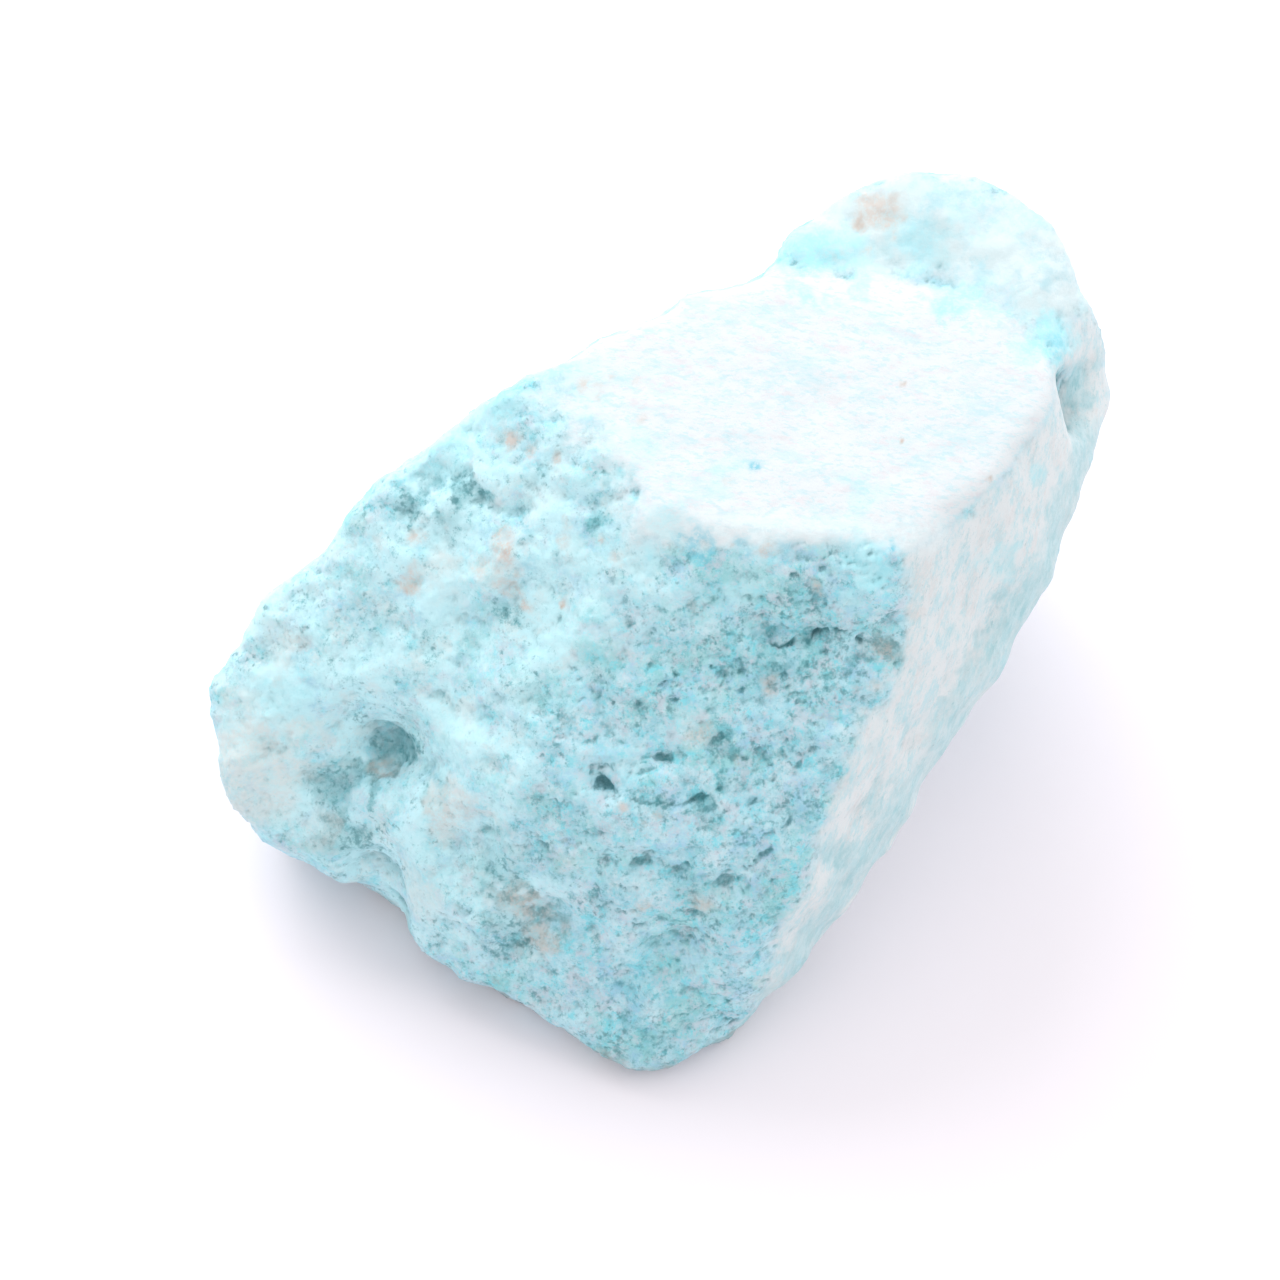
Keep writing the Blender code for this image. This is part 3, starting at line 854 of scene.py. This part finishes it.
# A noise of the material: its grain, detail, roughness, seed and distortion, as far as they are given.
# Veils of colour, in the order in which they lie on each other: the tint, its noise, the noise's levels
# between which it comes up, and how much of it shows at most.
MOTTLE = (
    (PALE_BLUE, (1.3, 9.0, 0.80, 0.0), (0.40, 0.60), 1.0),
    (SEA_GREEN, (3.4, 9.0, 0.80, 1.0), (0.48, 0.60), 0.65),
    (CHALK, (0.9, 9.0, 0.80, 2.0), (0.48, 0.62), 0.75),
    (BRIGHT_CYAN, (0.75, 9.0, 0.80, 3.0), (0.50, 0.60), 0.75),
    (LILAC_GREY, (0.85, 9.0, 0.80, 4.0), (0.50, 0.60), 0.75),
    (ICE_BLUE, (1.6, 9.0, 0.80, 5.0), (0.52, 0.62), 0.6),
    (GREY_BROWN, (1.9, 9.0, 0.80, 6.0), (0.56, 0.68), 0.6),
)
KNOB_VEILS = (
    (KNOB_PALE, (1.8, 7.0, 0.72, 31.0), (0.38, 0.54), 1.0),
)
TOP_STREAKS = (
    (TOP_CYAN, (0.9, 8.0, 0.78, 0.5, 0.2), (0.48, 0.62), 0.5),
    (TOP_CYAN, (0.20, 4.0, 0.7, 1.5), (0.50, 0.62), 0.6),
    (TOP_PINK, (0.45, 6.0, 0.75, 2.5), (0.52, 0.64), 0.6),
)
TOP_GRAINS = (
    (AQUA, (0.22, 3.0, 0.6, 3.5), (0.66, 0.76), 0.5),
    (TAN, (0.30, 3.0, 0.6, 0.0), (0.68, 0.78), 0.35),
)
SIDE_STREAKS = (
    (SIDE_GREY, (0.45, 9.0, 0.84, 5.5), (0.40, 0.54), 1.0),
    (PINK, (0.8, 7.0, 0.78, 6.5), (0.50, 0.62), 0.5),
    (SIDE_SEA, (0.5, 8.0, 0.82, 7.5), (0.54, 0.64), 0.55),
)
SIDE_CLOUDS = (
    (SIDE_BLUE, (0.35, 8.0, 0.84, 11.5), (0.42, 0.58), 1.0),
)
SIDE_GRAINS = (
    (SIDE_GRIT, (0.22, 6.0, 0.8, 10.5), (0.56, 0.68), 0.45),
)
SIDE_DOTS = (
    (TEAL, (0.20, 4.0, 0.7, 9.5), (0.60, 0.72), 0.5),
)
TOP_STRETCH = 2.4  # how many times longer than wide the streaks are
SIDE_STRETCH = 2.6

# Patches: the noise, its two levels, and how much shows at them.
# The milky and cream patches lie on the paler left: partly its own colour, partly painted light.
MILKY_PATCHES = ((2.2, 9.0, 0.78, 21.0), (0.40, 0.56), (0.15, 0.85))
CREAM_PATCHES = ((1.5, 9.0, 0.78, 22.0), (0.50, 0.62), (0.0, 0.5))
SEA_PATCHES = ((0.9, 8.0, 0.80, 8.5), (0.36, 0.60), (0.50, 1.0))
# Painted shade at the foot of the stone.
FOOT_SHADE_PATCHES = ((1.0, 7.0, 0.78, 41.0), (0.40, 0.60), (0.35, 0.85))

# The darker grains and dots of the broken faces, fewer where the stone is paler.
TONE_SHARE = 0.6
PALE_AND_LIT_SHARE = 0.3  # how much of the paler, painted-lighter left counts as paler
GRAINS = (0.50, 6.0, 0.82, 15.0)
GRAIN_LEVELS = (0.50, 0.30)
GRAIN_SHARE = 0.9
GRAINS_IN_PALE = 0.06
DOTS = (0.26, 3.0, 0.6, 17.0)
DOT_LEVELS = (0.78, 1.0)
DOT_SHARE = 0.65
CLUSTERS = (2.2, 4.0, 0.65, 16.0)
CLUSTER_SHARE = 0.5
CLUSTERS_IN_PALE = 0.30

SPECKLES = (0.4, 7.0, 0.80)
SPECKLE_LEVELS = (0.42, 0.58)

# Painted shade: how much of it shows on the broken faces and on the paler ground, and how its noise breaks
# it up.
CREVICE_SHADE = (0.75, 0.4)
SHADE_BREAKS = ((0.3, 6.0, 0.8), (0.40, 0.60), (1.0, 0.4))
HOLLOW_LEVELS = (0.2, 1.0)
HOLLOW_SHADE = 0.3
PIT_LEVELS = (0.1, 0.9)
PIT_SHADE = 0.35

KNOB_SHARE = 0.95
DULLNESS = ((0.8, 3.0, 0.6), (0.3, 0.7), (0.78, 0.95))  # the shader's roughness, from a noise
SPECULAR = 0.35
BUMP_NOISE = (0.20, 5.0, 0.7)
BUMP_STRENGTH = 0.5
BUMP_HEIGHT = 0.05
# The coloured spots, in the order in which they lie on each other: the mask, the colour, and how much of it
# shows between the speckles and on them.
SPOT_COLOURS = (
    # Painted light along the top's rim and at the knob's right end.
    ("rim", PAINTED_LIGHT, 0.4, 0.8),
    ("aqua", AQUA, 0.5, 0.9),
    ("blue", CYAN, 0.25, 0.9),
    ("cream", CREAM, 0.5, 1.0),
    ("tan", TAN, 0.4, 1.0),
)


def rough_colour(n):
    """The broken faces: a grainy mottle of cyan, sea green and chalk, with darker dots in clusters."""
    tone_light_and_shade, pale = n.mask("tone_light_and_shade"), n.mask("pale")
    colour = n.veiled(SKY, MOTTLE)
    # Milky and cream patches on the paler left: partly its colour, partly painted light.
    colour = n.mix(n.patchy("pale", *MILKY_PATCHES), colour, MILKY)
    colour = n.mix(n.patchy("pale", *CREAM_PATCHES), colour, CREAM)
    # The tone spots: painted light (milky) and painted shade (teal), partly the stone's own tone.
    colour = n.mix(n.ramp(tone_light_and_shade, 0.0, 1.0, 0.0, TONE_SHARE), colour, MILKY)
    colour = n.mix(n.ramp(tone_light_and_shade, 0.0, -1.0, 0.0, TONE_SHARE), colour, TEAL)
    paler = n.math("ADD", tone_light_and_shade, n.math("MULTIPLY", pale, PALE_AND_LIT_SHARE))
    grains = n.math("ADD", n.noise(*GRAINS), n.math("MULTIPLY", paler, GRAINS_IN_PALE))
    colour = n.mix(n.ramp(grains, *GRAIN_LEVELS, 0.0, GRAIN_SHARE), colour, TEAL)
    clusters = n.math("SUBTRACT", n.noise(*CLUSTERS), n.math("MULTIPLY", paler, CLUSTERS_IN_PALE))
    dots = n.math("ADD", n.noise(*DOTS), n.math("MULTIPLY", clusters, CLUSTER_SHARE))
    return n.mix(n.ramp(dots, *DOT_LEVELS, 0.0, DOT_SHARE), colour, DEEP_TEAL)


def top_colour(n):
    """The smooth top: near white, marbled with fine streaks, with a few aqua and tan grains."""
    streaked = n.veiled(TOP_WHITE, TOP_STREAKS, n.stretch(tuple(TOP_WAY), TOP_STRETCH))
    return n.veiled(streaked, TOP_GRAINS)


def side_colour(n):
    """The long side: pale grey, streaked along its length, with patches of sea green and teal dots."""
    along = n.stretch(tuple(SIDE_WAY), SIDE_STRETCH)
    colour = n.veiled(SIDE_BLUE, SIDE_STREAKS, along)
    patches = n.patchy("teal", *SEA_PATCHES, along)
    colour = n.mix(patches, colour, n.veiled(SIDE_SEA, SIDE_CLOUDS, along))
    return n.veiled(n.veiled(colour, SIDE_GRAINS), SIDE_DOTS, along)


def with_spots(n, colour):
    """The coloured spots, the painted light at the top's rim, and the painted shade at the foot of the
    stone.
    """
    speckle = n.ramp(n.noise(*SPECKLES), *SPECKLE_LEVELS)
    for name, tint, between, on_speckles in SPOT_COLOURS:
        shown = n.math("MULTIPLY", n.mask(name), n.ramp(speckle, 0.0, 1.0, between, on_speckles))
        colour = n.mix(shown, colour, tint)
    colour = n.mix(n.mask("rust"), colour, RUST)
    # Painted shade at the foot of the stone.
    return n.mix(n.patchy("foot", *FOOT_SHADE_PATCHES), colour, GREY_BROWN)


def with_shade(n, colour):
    """Painted shade: darker teal in the crevices, hollows, pits and cracks, with less in the crevices of the
    paler ground.
    """
    soft = n.math("ADD", n.mask("pale"), n.mask("knob"), clamp=True)
    shade = n.math("MULTIPLY", n.ramp(n.mask("crevice"), 0.0, 1.0), n.ramp(soft, 0.0, 1.0, *CREVICE_SHADE))
    colour = n.mix(n.math("MULTIPLY", shade, n.noisy(*SHADE_BREAKS)), colour, DEEP_TEAL)
    colour = n.mix(n.ramp(n.mask("hollow"), *HOLLOW_LEVELS, 0.0, HOLLOW_SHADE), colour, DEEP_TEAL)
    return n.mix(n.ramp(n.mask("pit"), *PIT_LEVELS, 0.0, PIT_SHADE), colour, DEEP_TEAL)


def stone_material():
    """The broken faces, with the knob, the side and the top over them, then the spots, the painted light and
    the painted shade.
    """
    n = Nodes("chrysocolla")
    knob = n.veiled(TOP_CYAN, KNOB_VEILS)
    colour = n.mix(n.math("MULTIPLY", n.mask("knob"), KNOB_SHARE), rough_colour(n), knob)
    colour = n.mix(n.mask("side"), colour, side_colour(n))
    colour = n.mix(n.mask("top"), colour, top_colour(n))
    n.link(with_shade(n, with_spots(n, colour)), n.shader.inputs["Base Color"])

    n.link(n.noisy(*DULLNESS), n.shader.inputs["Roughness"])
    n.shader.inputs["Specular IOR Level"].default_value = SPECULAR

    bump = n.add("ShaderNodeBump")
    bump.inputs["Strength"].default_value = BUMP_STRENGTH
    bump.inputs["Distance"].default_value = BUMP_HEIGHT * MM
    n.link(n.noise(*BUMP_NOISE), bump.inputs["Height"])
    n.link(bump.outputs["Normal"], n.shader.inputs["Normal"])
    return n.material


# ---------------------------------------------------------------------------------------------- the studio

FLOOR_REACH = 1.5  # metres
FLOOR_COLOUR = (0.885, 0.836, 0.878)
FLOOR_ROUGHNESS = 0.9
FLOOR_SPECULAR = 0.1
WORLD_COLOUR = (1.0, 0.99, 1.0)
WORLD_STRENGTH = 0.98
# Soft lights: name, direction in the camera's level axes (right, away, up), distance and size in metres, and
# power in watts.
LIGHTS = (
    ("softbox", (-0.5, 1.2, 0.8), 0.60, 0.60, 3.2),
    ("fill", (1.0, 0.5, 0.8), 0.80, 1.20, 2.0),
)


def make_floor():
    """A plain pale floor, which isn't part of the stone."""
    mesh = bpy.data.meshes.new("floor")
    bm = bmesh.new()
    bmesh.ops.create_grid(bm, x_segments=2, y_segments=2, size=FLOOR_REACH)
    bm.to_mesh(mesh)
    bm.free()
    floor = bpy.data.objects.new("floor", mesh)
    bpy.context.scene.collection.objects.link(floor)
    material = bpy.data.materials.new("floor")
    material.use_nodes = True
    shader = material.node_tree.nodes["Principled BSDF"]
    shader.inputs["Base Color"].default_value = (*FLOOR_COLOUR, 1.0)
    shader.inputs["Roughness"].default_value = FLOOR_ROUGHNESS
    shader.inputs["Specular IOR Level"].default_value = FLOOR_SPECULAR
    mesh.materials.append(material)


def area_light(name, direction, distance, size, power):
    """A round soft light that looks at the stone from a direction given in the camera's level axes."""
    right, away, up = direction
    way = (RIGHT * right + AWAY * away + Vector((0.0, 0.0, up))).normalized()
    data = bpy.data.lights.new(name, "AREA")
    data.shape = "DISK"
    data.size = size
    data.energy = power
    light = bpy.data.objects.new(name, data)
    bpy.context.scene.collection.objects.link(light)
    light.location = AIM + way * distance
    light.rotation_mode = "QUATERNION"
    light.rotation_quaternion = (-way).to_track_quat("-Z", "Y")


def make_light():
    """An even white studio, with a large soft light behind the stone and a weaker one at the right."""
    world = bpy.data.worlds.new("world")
    world.use_nodes = True
    background = world.node_tree.nodes["Background"]
    background.inputs["Color"].default_value = (*WORLD_COLOUR, 1.0)
    background.inputs["Strength"].default_value = WORLD_STRENGTH
    bpy.context.scene.world = world
    for light in LIGHTS:
        area_light(*light)
    bpy.context.scene.view_settings.view_transform = "Standard"


make_camera()
make_stone()
make_floor()
make_light()
